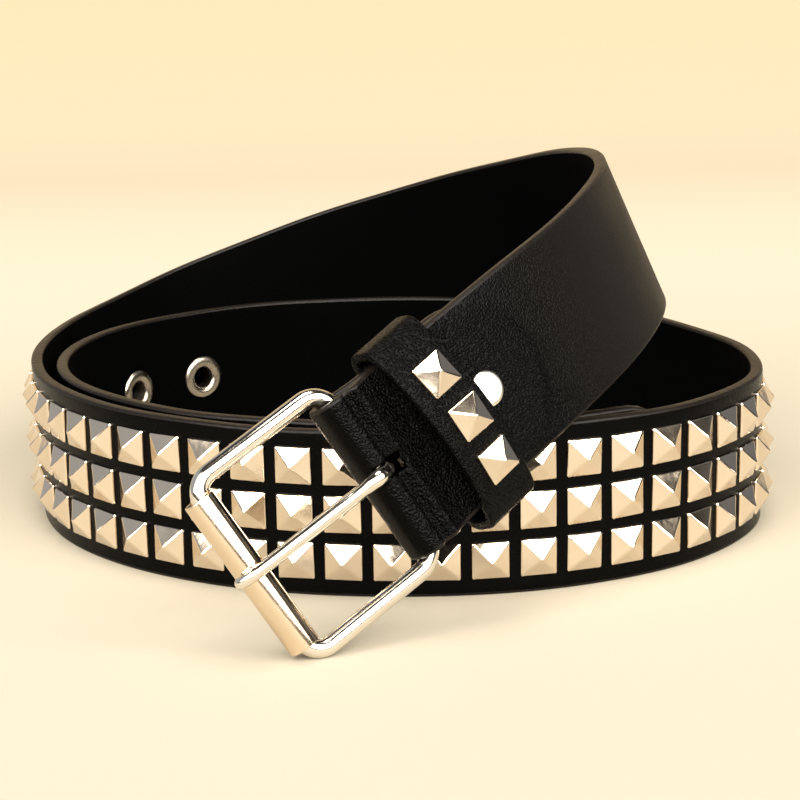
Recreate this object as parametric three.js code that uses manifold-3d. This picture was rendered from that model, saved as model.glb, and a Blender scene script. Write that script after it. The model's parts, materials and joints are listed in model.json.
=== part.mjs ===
// A studded leather belt that lies coiled on a table, with its buckle end drawn over the front.
// Millimetres, +Z up. The buckle end comes forward, towards -Y, and the tail lies inside the coil.
import * as THREE from 'three';
import { mergeGeometries, mergeVertices } from 'three/addons/utils/BufferGeometryUtils.js';
import Module from 'manifold-3d';

const wasm = await Module();
wasm.setup();

// Driving sizes of the strap and of the coil that it lies in
const STRAP_WIDTH = 38.5;
const STRAP_THICKNESS = 3;
const EDGE_BEVEL = 0.4; // painted edges are a little rounded
const TIP_ROUND = 9; // corner radius of the tail
const COIL_WIDTH = 186; // outside of the leather, left to right
const COIL_DEPTH = 164.6; // outside of the leather, front to back
const SECTION_STEP = 9.5; // length of strap between two modelled sections
const TOUCH_GAP = 0.3; // clearance of pieces that touch on the real belt

// Pyramid studs of the strap
const STUD_SIZE = 8.8;
const STUD_HEIGHT = 3.1;
const STUD_SKIRT = 0.6; // upright rim below the four facets
const STUD_SUNK = 0.4; // how deep a stud is pressed into the leather
const STUD_PITCH = 10.84;
const STUD_ROW_PITCH = 11;
const STUD_ROWS = 3;
const STUD_COLUMNS = 48;
const STUDS_FROM_TIP = 282; // tail tip to the first column

// Eyelets of the tail
const EYELET_COUNT = 7;
const EYELET_PITCH = 25;
const EYELETS_FROM_TIP = 113;
const EYELET_HOLE = 6;
const EYELET_BARREL = 7.6;
const EYELET_FLANGE = 11.6;
const EYELET_LIP = 0.8;
const CURVE_GAP = 0.6; // flat flange to the curved leather, at its middle

// Buckle, with a wire frame, a sheet roller and a wire prong
const WIRE = 4;
const FRAME_REACH = 34.5; // bar to roller, between their axes
const FRAME_SIDE_GAP = 1.2; // strap edge to the frame's arms
const FRAME_CORNER = 5;
const BAR_PLAY = 0.8; // bar to the inside of the fold
const ROLLER_DIAMETER = 7;
const ROLLER_WALL = 0.75;
const ROLLER_END_GAP = 1.1; // roller ends to the inside of the arms
const PRONG_ROOT = 3.3;
const PRONG_TIP = 2.8;
const PRONG_EYE_SWEEP = 255; // degrees that the prong wraps round the bar
const SLOT_SIDE_GAP = 0.9; // prong to each side of its slot
const SLOT_END_GAP = 0.65; // prong's eye to the end of its slot

// Keeper, its studs, and the rivet that closes the fold
const KEEPER_FROM_BAR = 17.8;
const KEEPER_WIDTH = 14;
const KEEPER_WALL = 2.2;
const KEEPER_RISE = 4.6; // free height under the keeper's middle
const KEEPER_EDGE_RISE = 0.6; // free height over the strap's edges
const KEEPER_SIDE_GAP = 3.4; // free width at each edge of the strap in a centred keeper
const KEEPER_SKEW = THREE.MathUtils.degToRad(2.5); // how far it sits askew
const KEEPER_BACK_GAP = 0.6; // to the back of the turned-back layer
const KEEPER_STUD_SIZE = 8.3;
const KEEPER_STUD_PITCH = 11.3;
const KEEPER_STUDS = 3;
const RIVET_FROM_BAR = 29;
const RIVET_CAP = 8;
const RIVET_BACK = 7;
const RIVET_SHANK = 2.8;
const RIVET_DOME = 1.3;
const TURNED_BACK = 47; // length of the layer that is folded round the bar
const TONGUE_ROUND = 18.5; // radius of its rounded end

// The coil, seen from above, from the tail's tip clockwise. Bearing is in degrees from +X,
// reach is a share of the coil's half width and half depth.
const COIL = [
  // bearing, reach
  [-47, 1.018],
  [-75, 0.965],
  [-100, 0.89],
  [-125, 0.88],
  [-150, 0.88],
  [-175, 0.91],
  [-200, 0.96],
  [-225, 1.005],
  [-250, 1.038],
  [-270, 1.005],
  [-292, 0.995],
  [-315, 0.995],
  [-338, 0.96],
  [-360, 1.0],
  [-382, 1.05],
  [-405, 1.061],
  [-428, 1.036],
  [-450, 0.996],
  [-472, 0.968],
  [-495, 0.949],
  [-518, 0.95],
];

// The raised end, from the left of the coil round its back and forward to the buckle's bar.
// Lift is a share of the strap's width, and leanX and leanY say where its top edge leans.
const RISE = [
  // bearing, reach, lift, leanX, leanY
  [-541, 0.984, 0.005, -0.04, -0.01],
  [-563, 1.058, 0.028, -0.15, -0.02],
  [-584, 1.16, 0.105, -0.275, 0],
  [-602, 1.255, 0.286, -0.32, 0.02],
  [-618.5, 1.246, 0.551, -0.31, 0.02],
  [-635, 1.141, 0.823, -0.305, 0.025],
  [-653.5, 0.971, 1.061, -0.305, 0.04],
  [-677, 0.782, 1.237, -0.32, 0.04],
  [-709.5, 0.667, 1.339, -0.365, 0.025],
  [-745, 0.719, 1.347, -0.405, 0.005],
  [-772.5, 0.886, 1.214, -0.42, -0.03],
  [-792.5, 1.082, 0.936, -0.475, -0.03],
  [-810, 1.342, 0.461, -0.545, 0.045],
];

const leather = () => new THREE.MeshStandardMaterial({ color: 0x161412, roughness: 0.55, metalness: 0 });
const nickel = () => new THREE.MeshStandardMaterial({ color: 0xd8d5cf, roughness: 0.18, metalness: 1 });

// Closed mesh through a list of rings of points, with flat ends or joined end to start
function loft(rings, joined = false) {
  const sides = rings[0].length;
  const position = rings.flatMap((ring) => ring.flatMap((point) => point.toArray()));
  const index = [];
  const spans = joined ? rings.length : rings.length - 1;
  for (let i = 0; i < spans; i += 1) {
    const here = i * sides;
    const next = ((i + 1) % rings.length) * sides;
    for (let j = 0; j < sides; j += 1) {
      const k = (j + 1) % sides;
      index.push(here + j, here + k, next + k);
      index.push(here + j, next + k, next + j);
    }
  }
  if (!joined) {
    const last = (rings.length - 1) * sides;
    for (let j = 1; j < sides - 1; j += 1) {
      index.push(0, j + 1, j);
      index.push(last, last + j, last + j + 1);
    }
  }
  const geometry = new THREE.BufferGeometry();
  geometry.setAttribute('position', new THREE.Float32BufferAttribute(position, 3));
  geometry.setIndex(index);
  return geometry;
}

// Welded copy of a geometry with only its positions, and without empty triangles
function welded(geometry) {
  const bare = geometry.clone();
  bare.deleteAttribute('normal');
  bare.deleteAttribute('uv');
  const merged = mergeVertices(bare, 1e-4);
  const corners = merged.index.array;
  const kept = [];
  for (let i = 0; i < corners.length; i += 3) {
    const [a, b, c] = [corners[i], corners[i + 1], corners[i + 2]];
    if (a !== b && b !== c && c !== a) kept.push(a, b, c);
  }
  merged.setIndex(kept);
  return merged;
}

function toManifold(geometry) {
  const mesh = new wasm.Mesh({
    numProp: 3,
    vertProperties: new Float32Array(geometry.attributes.position.array),
    triVerts: new Uint32Array(geometry.index.array),
  });
  return new wasm.Manifold(mesh);
}

function fromManifold(manifold) {
  const mesh = manifold.getMesh();
  const geometry = new THREE.BufferGeometry();
  geometry.setAttribute('position', new THREE.Float32BufferAttribute(mesh.vertProperties, 3));
  geometry.setIndex(Array.from(mesh.triVerts));
  return geometry;
}

// The middle of the strap's thickness, from the tail's tip to the buckle's bar
class StrapPath {
  constructor() {
    const halfWidth = (COIL_WIDTH - STRAP_THICKNESS) / 2;
    const halfDepth = (COIL_DEPTH - STRAP_THICKNESS) / 2;
    const points = [];
    const leans = [];
    for (const [bearing, reach, lift = 0, leanX = 0, leanY = 0] of [...COIL, ...RISE]) {
      const angle = THREE.MathUtils.degToRad(bearing);
      points.push(new THREE.Vector3(
        halfWidth * reach * Math.cos(angle),
        halfDepth * reach * Math.sin(angle),
        STRAP_WIDTH * (0.5 + lift),
      ));
      leans.push(new THREE.Vector3(leanX, leanY, Math.sqrt(1 - leanX ** 2 - leanY ** 2)));
    }
    this.centre = new THREE.CatmullRomCurve3(points);
    this.centre.arcLengthDivisions = 3000;
    this.lean = new THREE.CatmullRomCurve3(leans, false, 'catmullrom', 0.5);
    this.length = this.centre.getLength();
  }

  // Place on the path: along runs towards the bar, across to the top edge, outward out of the face
  at(distance) {
    const t = Math.min(this.centre.getUtoTmapping(Math.min(distance / this.length, 1)), 1);
    const along = this.centre.getTangent(t);
    const across = this.lean.getPoint(t);
    across.addScaledVector(along, -across.dot(along)).normalize();
    return { point: this.centre.getPoint(t), along, across, outward: across.clone().cross(along) };
  }
}

const path = new StrapPath();

// Strap width at a distance from an end whose corners are rounded
function widthNear(fromEnd, round) {
  const share = 1 - Math.min(Math.max(fromEnd / round, 0), 1);
  return STRAP_WIDTH - 2 * round * (1 - Math.sqrt(1 - share ** 2));
}

// Bevelled strap section at a point, between its across and outward directions
function strapSection(point, across, outward, width) {
  const u = width / 2;
  const n = STRAP_THICKNESS / 2;
  const corners = [
    [u - EDGE_BEVEL, n], [u, n - EDGE_BEVEL], [u, -n + EDGE_BEVEL], [u - EDGE_BEVEL, -n],
    [-u + EDGE_BEVEL, -n], [-u, -n + EDGE_BEVEL], [-u, n - EDGE_BEVEL], [-u + EDGE_BEVEL, n],
  ];
  return corners.map(([a, b]) => point.clone().addScaledVector(across, a).addScaledVector(outward, b));
}

// Distances from 0 to a length: close together round the first end, then even
function stations(length, round, step) {
  const near = [0, 0.04, 0.14, 0.32, 0.6, 1].map((share) => share * round);
  const count = Math.ceil((length - round) / step);
  const even = Array.from({ length: count }, (_, i) => round + ((i + 1) * (length - round)) / count);
  return [...near, ...even];
}

// Fold: the layers lie round the bar, and close up before the keeper
const BAR_TO_MIDDLE = WIRE / 2 + BAR_PLAY + STRAP_THICKNESS / 2;
const LAYER_SPACING = STRAP_THICKNESS + TOUCH_GAP;
const FOLD_CLOSED = KEEPER_FROM_BAR - KEEPER_WIDTH / 2 - 1;

function layerSpacing(fromBar) {
  const share = Math.min(fromBar / FOLD_CLOSED, 1);
  const eased = share * share * (3 - 2 * share);
  return 2 * BAR_TO_MIDDLE + (LAYER_SPACING - 2 * BAR_TO_MIDDLE) * eased;
}

const barFrame = path.at(path.length);
barFrame.point.addScaledVector(barFrame.outward, -BAR_TO_MIDDLE);

function strapSolid() {
  const rings = stations(path.length, TIP_ROUND, SECTION_STEP).map((distance) => {
    const { point, across, outward } = path.at(distance);
    return strapSection(point, across, outward, widthNear(distance, TIP_ROUND));
  });
  const foldSteps = 8;
  for (let i = 1; i <= foldSteps; i += 1) {
    const turn = (Math.PI * i) / foldSteps;
    const outward = barFrame.outward.clone().multiplyScalar(Math.cos(turn));
    outward.addScaledVector(barFrame.along, Math.sin(turn));
    const point = barFrame.point.clone().addScaledVector(outward, BAR_TO_MIDDLE);
    rings.push(strapSection(point, barFrame.across, outward, STRAP_WIDTH));
  }
  for (const fromEnd of stations(TURNED_BACK, TONGUE_ROUND, SECTION_STEP / 3).reverse().slice(1)) {
    const fromBar = TURNED_BACK - fromEnd;
    const { point, across, outward } = path.at(path.length - fromBar);
    point.addScaledVector(outward, -layerSpacing(fromBar));
    rings.push(strapSection(point, across, outward.negate(), widthNear(fromEnd, TONGUE_ROUND)));
  }
  return toManifold(loft(rings));
}

// Turned shape about an axis that points outward, from a list of radius and height
function turned(profile, sides) {
  return welded(new THREE.LatheGeometry(profile.map(([r, h]) => new THREE.Vector2(r, h)), sides));
}

function pyramidStud(size) {
  const corner = size / Math.SQRT2;
  const profile = [[0, -STUD_SUNK], [corner, -STUD_SUNK], [corner, STUD_SKIRT], [0, STUD_HEIGHT]];
  return turned(profile, 4).rotateY(Math.PI / 4);
}

// Transform of a piece whose X is along, Y outward and Z across
function poseMatrix({ point, along, outward, across }) {
  return new THREE.Matrix4().makeBasis(along, outward, across).setPosition(point);
}

function shifted(frame, outwardShift, acrossShift = 0) {
  const point = frame.point.clone();
  point.addScaledVector(frame.outward, outwardShift).addScaledVector(frame.across, acrossShift);
  return { ...frame, point };
}

function studField() {
  const studs = [];
  for (let column = 0; column < STUD_COLUMNS; column += 1) {
    const frame = path.at(STUDS_FROM_TIP + column * STUD_PITCH);
    for (let row = 0; row < STUD_ROWS; row += 1) {
      const offCentre = (row - (STUD_ROWS - 1) / 2) * STUD_ROW_PITCH;
      const seat = shifted(frame, STRAP_THICKNESS / 2, offCentre);
      studs.push(pyramidStud(STUD_SIZE).applyMatrix4(poseMatrix(seat)));
    }
  }
  return toManifold(mergeGeometries(studs));
}

// Round punch through the strap, or through both layers of the fold
function punch(frame, diameter, depth) {
  const cylinder = welded(new THREE.CylinderGeometry(diameter / 2, diameter / 2, depth, 14));
  return toManifold(cylinder.applyMatrix4(poseMatrix(frame)));
}

const EYE_RADIUS = WIRE / 2 + TOUCH_GAP + PRONG_ROOT / 2; // bar axis to the middle of the prong's eye

function prongSlot() {
  const behind = EYE_RADIUS + PRONG_ROOT / 2 + SLOT_END_GAP;
  const ahead = BAR_TO_MIDDLE + STRAP_THICKNESS;
  const box = new THREE.BoxGeometry(behind + ahead, 6 * BAR_TO_MIDDLE, PRONG_ROOT + 2 * SLOT_SIDE_GAP);
  box.translate((ahead - behind) / 2, 0, 0);
  return toManifold(welded(box).applyMatrix4(poseMatrix(barFrame)));
}

const eyeletFrames = Array.from(
  { length: EYELET_COUNT },
  (_, i) => path.at(EYELETS_FROM_TIP + i * EYELET_PITCH),
);
const rivetFrame = path.at(path.length - RIVET_FROM_BAR);

function studdedStrap() {
  let strap = strapSolid().add(studField()).subtract(prongSlot());
  for (const frame of eyeletFrames) {
    strap = strap.subtract(punch(frame, EYELET_BARREL + 2 * TOUCH_GAP, 2 * STRAP_THICKNESS));
  }
  const shankHole = punch(shifted(rivetFrame, -LAYER_SPACING / 2), RIVET_SHANK + 2 * TOUCH_GAP, 5 * STRAP_THICKNESS);
  return fromManifold(strap.subtract(shankHole));
}

function eyelet() {
  const face = STRAP_THICKNESS / 2 + CURVE_GAP;
  const [hole, barrel, flange] = [EYELET_HOLE / 2, EYELET_BARREL / 2, EYELET_FLANGE / 2];
  const lip = face + EYELET_LIP;
  return turned([
    [hole, -lip], [flange, -lip], [flange, -face], [barrel, -face],
    [barrel, face], [flange, face], [flange, lip], [hole, lip], [hole, -lip],
  ], 14);
}

// Rivet through both layers, with its Y axis outward and zero in the middle of the outer layer
function rivet() {
  const front = STRAP_THICKNESS / 2 + TOUCH_GAP;
  const back = -LAYER_SPACING - front;
  const [cap, shank, foot] = [RIVET_CAP / 2, RIVET_SHANK / 2, RIVET_BACK / 2];
  return turned([
    [0, back - EYELET_LIP], [foot, back - EYELET_LIP], [foot, back], [shank, back], [shank, front],
    [cap, front], [cap, front + 0.35 * RIVET_DOME], [0.6 * cap, front + 0.85 * RIVET_DOME], [0, front + RIVET_DOME],
  ], 14);
}

// The loose keeper hangs down by half of that gap, less a clearance and what its skew takes
const KEEPER_DROP = KEEPER_SIDE_GAP / 2 - TOUCH_GAP - (KEEPER_WIDTH / 2) * Math.sin(KEEPER_SKEW);

// Keeper loop in the plane across the strap: u to the top edge, n outward from the outer layer's middle
const KEEPER_HALF = STRAP_WIDTH / 2 + KEEPER_SIDE_GAP + KEEPER_WALL / 2;
const KEEPER_CROWN = STRAP_THICKNESS / 2 + KEEPER_RISE + KEEPER_WALL / 2;
const KEEPER_SAG = KEEPER_RISE - KEEPER_EDGE_RISE;
const KEEPER_ARCH = ((STRAP_WIDTH / 2) ** 2 + KEEPER_SAG ** 2) / (2 * KEEPER_SAG) + KEEPER_WALL / 2;

function keeperOutline() {
  const bend = KEEPER_WALL + 0.6;
  const back = -(LAYER_SPACING + STRAP_THICKNESS / 2 + KEEPER_BACK_GAP + KEEPER_WALL / 2);
  const archEnd = Math.asin((KEEPER_HALF - 0.5 * bend) / KEEPER_ARCH);
  const arch = (angle) => [
    KEEPER_ARCH * Math.sin(angle),
    KEEPER_CROWN - KEEPER_ARCH * (1 - Math.cos(angle)),
  ];
  const [shoulderU, shoulderN] = arch(archEnd);
  const half = [0, 0.25, 0.5, 0.75, 1].map((share) => arch(share * archEnd));
  half.push([shoulderU + 0.75 * (KEEPER_HALF - shoulderU), shoulderN - 0.35 * bend]);
  half.push([KEEPER_HALF, shoulderN - bend]);
  half.push([KEEPER_HALF, back + 0.9 * bend]);
  half.push([KEEPER_HALF - 0.3 * bend, back + 0.3 * bend]);
  half.push([KEEPER_HALF - 0.9 * bend, back]);
  half.push([0, back]);
  const mirrored = half.slice(1, -1).reverse().map(([u, n]) => [-u, n]);
  return [...half, ...mirrored].map(([u, n]) => new THREE.Vector2(u, n));
}

// Band along a closed outline, with its Y axis outward and Z across
function keeperBand() {
  const outline = keeperOutline();
  const rings = outline.map((here, i) => {
    const before = outline[(i + outline.length - 1) % outline.length];
    const after = outline[(i + 1) % outline.length];
    const inFrom = here.clone().sub(before).normalize();
    const outTo = after.clone().sub(here).normalize();
    const tangent = inFrom.clone().add(outTo).normalize();
    const mitre = KEEPER_WALL / 2 / Math.sqrt((1 + inFrom.dot(outTo)) / 2);
    const side = new THREE.Vector2(-tangent.y, tangent.x).multiplyScalar(mitre);
    const w = KEEPER_WIDTH / 2;
    return [[w, 1], [-w, 1], [-w, -1], [w, -1]].map(
      ([x, s]) => new THREE.Vector3(x, here.y + s * side.y, here.x + s * side.x),
    );
  });
  return loft(rings, true);
}

// Ring of points round a wire, between two directions across it
function wireRing(point, first, second, radius, sides) {
  return Array.from({ length: sides }, (_, i) => {
    const angle = (2 * Math.PI * (i + 0.5)) / sides;
    const ring = point.clone().addScaledVector(first, radius * Math.cos(angle));
    return ring.addScaledVector(second, radius * Math.sin(angle));
  });
}

const FRAME_HALF = STRAP_WIDTH / 2 + FRAME_SIDE_GAP + WIRE / 2; // middle of the buckle to an arm's axis

// Buckle frame about the bar: X towards the roller, Y outward, Z across
function buckleFrame() {
  const corners = [
    [FRAME_REACH, FRAME_HALF, 0], [0, FRAME_HALF, 90], [0, -FRAME_HALF, 180], [FRAME_REACH, -FRAME_HALF, 270],
  ];
  const rings = [];
  for (const [x, z, start] of corners) {
    const cornerX = x - Math.sign(x - FRAME_REACH / 2) * FRAME_CORNER;
    const cornerZ = z - Math.sign(z) * FRAME_CORNER;
    for (let i = 0; i <= 4; i += 1) {
      const angle = THREE.MathUtils.degToRad(start + (90 * i) / 4);
      const outward = new THREE.Vector3(Math.cos(angle), 0, Math.sin(angle));
      const point = new THREE.Vector3(cornerX, 0, cornerZ).addScaledVector(outward, FRAME_CORNER);
      rings.push(wireRing(point, outward, new THREE.Vector3(0, 1, 0), WIRE / 2, 10));
    }
  }
  return loft(rings, true);
}

function roller() {
  const [outer, inner] = [ROLLER_DIAMETER / 2, ROLLER_DIAMETER / 2 - ROLLER_WALL];
  const half = FRAME_HALF - WIRE / 2 - ROLLER_END_GAP;
  return turned([[inner, -half], [outer, -half], [outer, half], [inner, half], [inner, -half]], 16);
}

// Prong in the plane of X and Y: an eye round the bar, a straight, and a tip that rests on the roller
function prong() {
  const sidesOf = new THREE.Vector3(0, 0, 1);
  const rings = [];
  const addRing = (x, y, heading, radius) => {
    const up = new THREE.Vector3(-Math.sin(heading), Math.cos(heading), 0);
    rings.push(wireRing(new THREE.Vector3(x, y, 0), up, sidesOf, radius, 10));
  };
  const tipOver = ROLLER_DIAMETER / 2 + TOUCH_GAP + PRONG_TIP / 2;
  const tilt = Math.asin((tipOver - EYE_RADIUS) / FRAME_REACH);
  const eyeSteps = 12;
  for (let i = eyeSteps; i >= 0; i -= 1) {
    const angle = Math.PI / 2 + tilt + THREE.MathUtils.degToRad((PRONG_EYE_SWEEP * i) / eyeSteps);
    addRing(EYE_RADIUS * Math.cos(angle), EYE_RADIUS * Math.sin(angle), angle - Math.PI / 2, PRONG_ROOT / 2);
  }
  const tipSteps = 4;
  for (let i = 0; i <= tipSteps; i += 1) {
    const angle = Math.PI / 2 + tilt - (i / tipSteps) * THREE.MathUtils.degToRad(48);
    const x = FRAME_REACH + tipOver * Math.cos(angle);
    addRing(x, tipOver * Math.sin(angle), angle - Math.PI / 2, PRONG_TIP / 2);
  }
  return loft(rings);
}

function named(name, geometry, material) {
  geometry.computeVertexNormals();
  const mesh = new THREE.Mesh(geometry, material);
  mesh.name = name;
  return mesh;
}

function seated(object, frame) {
  poseMatrix(frame).decompose(object.position, object.quaternion, object.scale);
  return object;
}

// Buckle pieces about the bar, swung until the lower corner rests on the table
function buckle() {
  const group = new THREE.Group();
  group.add(named('buckle_frame', buckleFrame(), nickel()));
  const rollerMesh = named('roller', roller(), nickel());
  rollerMesh.rotation.x = Math.PI / 2;
  rollerMesh.position.x = FRAME_REACH;
  group.add(rollerMesh);
  group.add(named('prong', prong(), nickel()));
  const swing = new THREE.Group();
  swing.add(group);
  seated(swing, barFrame);
  let [low, high] = [-0.3, 0.5];
  for (let i = 0; i < 40; i += 1) {
    group.rotation.z = (low + high) / 2;
    swing.updateMatrixWorld(true);
    const bottom = new THREE.Box3().setFromObject(swing, true).min.z;
    if (bottom > 0) high = group.rotation.z;
    else low = group.rotation.z;
  }
  return swing;
}

const belt = new THREE.Group();
belt.add(named('studded_strap', studdedStrap(), leather()));
eyeletFrames.forEach((frame, i) => {
  belt.add(seated(named(`eyelet_${i + 1}`, eyelet(), nickel()), frame));
});

const keeperFrame = shifted(path.at(path.length - KEEPER_FROM_BAR), 0, -KEEPER_DROP);
keeperFrame.along.applyAxisAngle(keeperFrame.outward, KEEPER_SKEW);
keeperFrame.across.applyAxisAngle(keeperFrame.outward, KEEPER_SKEW);
belt.add(seated(named('keeper', keeperBand(), leather()), keeperFrame));
for (let i = 0; i < KEEPER_STUDS; i += 1) {
  const outside = KEEPER_ARCH + KEEPER_WALL / 2;
  const turn = ((i - (KEEPER_STUDS - 1) / 2) * KEEPER_STUD_PITCH) / outside;
  const archCentre = shifted(keeperFrame, KEEPER_CROWN - KEEPER_ARCH);
  const outward = keeperFrame.outward.clone().multiplyScalar(Math.cos(turn));
  outward.addScaledVector(keeperFrame.across, Math.sin(turn));
  const across = outward.clone().cross(keeperFrame.along).negate();
  const seat = { point: archCentre.point, along: keeperFrame.along, outward, across };
  const stud = named(`keeper_stud_${i + 1}`, pyramidStud(KEEPER_STUD_SIZE), nickel());
  belt.add(seated(stud, shifted(seat, outside + STUD_SUNK + TOUCH_GAP)));
}
belt.add(seated(named('rivet', rivet(), nickel()), rivetFrame));
belt.add(buckle());

// The origin is the middle of the belt's footprint on the table
belt.updateMatrixWorld(true);
const footprint = new THREE.Box3().setFromObject(belt, true).getCenter(new THREE.Vector3());
belt.position.set(-footprint.x, -footprint.y, 0);

export default belt;
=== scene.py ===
"""Looks of a studded leather belt that lies coiled, with its buckle end drawn over the front.

Sizes are in millimetres in the part's frame, and become metres where a mesh is made.
"""

import json
import logging
import math
from dataclasses import dataclass, field
from enum import Enum
from typing import Sequence

import bmesh
import bpy
import numpy as np
from mathutils import Matrix, Vector

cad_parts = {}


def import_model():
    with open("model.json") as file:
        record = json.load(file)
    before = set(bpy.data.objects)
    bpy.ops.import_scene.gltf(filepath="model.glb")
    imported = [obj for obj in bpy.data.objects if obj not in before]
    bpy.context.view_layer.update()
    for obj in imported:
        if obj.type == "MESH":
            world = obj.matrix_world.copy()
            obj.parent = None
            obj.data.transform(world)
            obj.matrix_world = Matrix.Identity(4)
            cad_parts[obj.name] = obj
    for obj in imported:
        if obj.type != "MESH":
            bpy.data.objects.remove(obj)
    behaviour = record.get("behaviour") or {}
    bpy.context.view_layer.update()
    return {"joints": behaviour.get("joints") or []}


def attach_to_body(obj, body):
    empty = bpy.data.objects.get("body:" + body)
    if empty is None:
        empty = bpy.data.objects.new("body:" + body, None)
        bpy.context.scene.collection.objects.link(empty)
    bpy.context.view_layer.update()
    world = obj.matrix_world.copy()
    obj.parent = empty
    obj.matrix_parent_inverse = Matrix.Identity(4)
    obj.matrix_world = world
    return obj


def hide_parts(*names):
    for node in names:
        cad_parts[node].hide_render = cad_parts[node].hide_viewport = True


MM = 0.001
LOG = logging.getLogger("belt")
# Distances of the eyelets from the tail's tip
EYELETS_AT = tuple(113 + 25 * i for i in range(7))


class Body(Enum):
    """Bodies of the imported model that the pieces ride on."""

    BELT = "belt"
    FRAME = "frame"
    ROLLER = "roller"
    PRONG = "prong"


class Slot(Enum):
    """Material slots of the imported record."""

    LEATHER = "strap_leather"
    STUD = "stud_nickel"
    BUCKLE = "bright_nickel"
    EYELET = "eyelet_nickel"


def srgb(code: str) -> tuple[float, float, float, float]:
    """Turns an sRGB hex colour to linear.

    Args:
        code: Six hex digits after a hash.
    Returns:
        Linear red, green, blue and an alpha of one.
    """
    parts = [int(code[i:i + 2], 16) / 255 for i in (1, 3, 5)]
    linear = [c / 12.92 if c <= 0.04045 else ((c + 0.055) / 1.055) ** 2.4 for c in parts]
    return (linear[0], linear[1], linear[2], 1.0)


def add_node(
    tree: bpy.types.NodeTree, kind: str, settings: dict | None = None, **inputs,
) -> bpy.types.Node:
    """Adds a node to a tree with its settings and links.

    Args:
        tree: Shader or geometry tree.
        kind: Type name of the node.
        settings: Properties of the node.
        inputs: Values or sockets, by input name with underscores for spaces, or "i" and an index.
    Returns:
        The new node.
    """
    node = tree.nodes.new(kind)
    for key, value in (settings or {}).items():
        setattr(node, key, value)
    for key, value in inputs.items():
        if key[0] == "i" and key[1:].isdigit():
            socket = node.inputs[int(key[1:])]
        else:
            socket = node.inputs[key.replace("_", " ")]
        if isinstance(value, bpy.types.NodeSocket):
            tree.links.new(value, socket)
        else:
            socket.default_value = value
    return node


# Finishes


@dataclass(frozen=True)
class LeatherFinish:
    """Coated leather: black, with a pressed pebble grain that catches small lights."""

    name: str
    colour: str
    patch_and_sheen_colour: str
    roughness: tuple[float, float]
    grain_mm: float
    grain_depth_mm: float
    fine_mm: float = 0.32
    patch_mm: float = 22.0
    worn_matt: float = 0.16
    specular: float = 0.4
    masked: bool = True

    def material(self) -> bpy.types.Material:
        """Builds the node material.

        Returns:
            The material.
        """
        made = bpy.data.materials.new(self.name)
        made.use_nodes = True
        tree = made.node_tree
        shader = tree.nodes["Principled BSDF"]
        place = add_node(tree, "ShaderNodeTexCoord").outputs["Object"]
        # Warped cells give pebbles of uneven size, with the creases between them pressed in
        warp = add_node(
            tree, "ShaderNodeTexNoise", Vector=place, Scale=1 / (3 * self.grain_mm * MM), Detail=2.0,
        )
        shift = add_node(tree, "ShaderNodeVectorMath", {"operation": "SCALE"}, i0=warp.outputs["Color"])
        shift.inputs["Scale"].default_value = 0.35 * self.grain_mm * MM
        moved = add_node(
            tree, "ShaderNodeVectorMath", {"operation": "ADD"}, i0=place, i1=shift.outputs[0],
        )
        cells = add_node(
            tree, "ShaderNodeTexVoronoi", {"feature": "SMOOTH_F1"},
            Vector=moved.outputs[0], Scale=1 / (self.grain_mm * MM), Smoothness=0.35,
        )
        pebble = add_node(
            tree, "ShaderNodeMapRange", {"interpolation_type": "SMOOTHSTEP"},
            Value=cells.outputs["Distance"], From_Min=0.75, From_Max=0.1,
        )
        fine = add_node(
            tree, "ShaderNodeTexNoise", Vector=place, Scale=1 / (self.fine_mm * MM), Detail=3.0,
        )
        fine_part = add_node(
            tree, "ShaderNodeMath", {"operation": "MULTIPLY"}, i0=fine.outputs["Fac"], i1=0.3,
        )
        height = add_node(
            tree, "ShaderNodeMath", {"operation": "ADD"}, i0=pebble.outputs[0], i1=fine_part.outputs[0],
        ).outputs[0]
        if self.masked:
            gain = add_node(tree, "ShaderNodeAttribute", {"attribute_name": "grain"})
            height = add_node(
                tree, "ShaderNodeMath", {"operation": "MULTIPLY"}, i0=height, i1=gain.outputs["Fac"],
            ).outputs[0]
        bump = add_node(
            tree, "ShaderNodeBump", Height=height, Strength=1.0, Distance=self.grain_depth_mm * MM,
        )
        # The gloss changes slowly over patches, where the coat was rolled on
        cloud = add_node(
            tree, "ShaderNodeTexNoise", Vector=place, Scale=1 / (self.patch_mm * MM), Detail=4.0,
        )
        rough = add_node(
            tree, "ShaderNodeMapRange", Value=cloud.outputs["Fac"], From_Min=0.3, From_Max=0.7,
            To_Min=self.roughness[0], To_Max=self.roughness[1],
        )
        share, sheen = cloud.outputs["Fac"], rough.outputs[0]
        if self.masked:
            # Where the strap has been bent and handled it is more matt, and there its colour is lifted to a
            # greyer brown, a painted sheen
            wear_and_painted_sheen = add_node(tree, "ShaderNodeAttribute", {"attribute_name": "wear_and_painted_sheen"}).outputs["Fac"]
            share = wear_and_painted_sheen
            sheen = add_node(
                tree, "ShaderNodeMath", {"operation": "MULTIPLY_ADD"}, i0=wear_and_painted_sheen, i1=self.worn_matt, i2=sheen,
            ).outputs[0]
        # The second colour follows the patches, except on the strap, where it follows the wear mask and is
        # a painted sheen
        tone = add_node(tree, "ShaderNodeMix", {"data_type": "RGBA"}, i0=share)
        tone.inputs[6].default_value = srgb(self.colour)
        tone.inputs[7].default_value = srgb(self.patch_and_sheen_colour)
        tree.links.new(tone.outputs[2], shader.inputs["Base Color"])
        tree.links.new(sheen, shader.inputs["Roughness"])
        tree.links.new(bump.outputs[0], shader.inputs["Normal"])
        shader.inputs["Specular IOR Level"].default_value = self.specular
        return made


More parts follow.
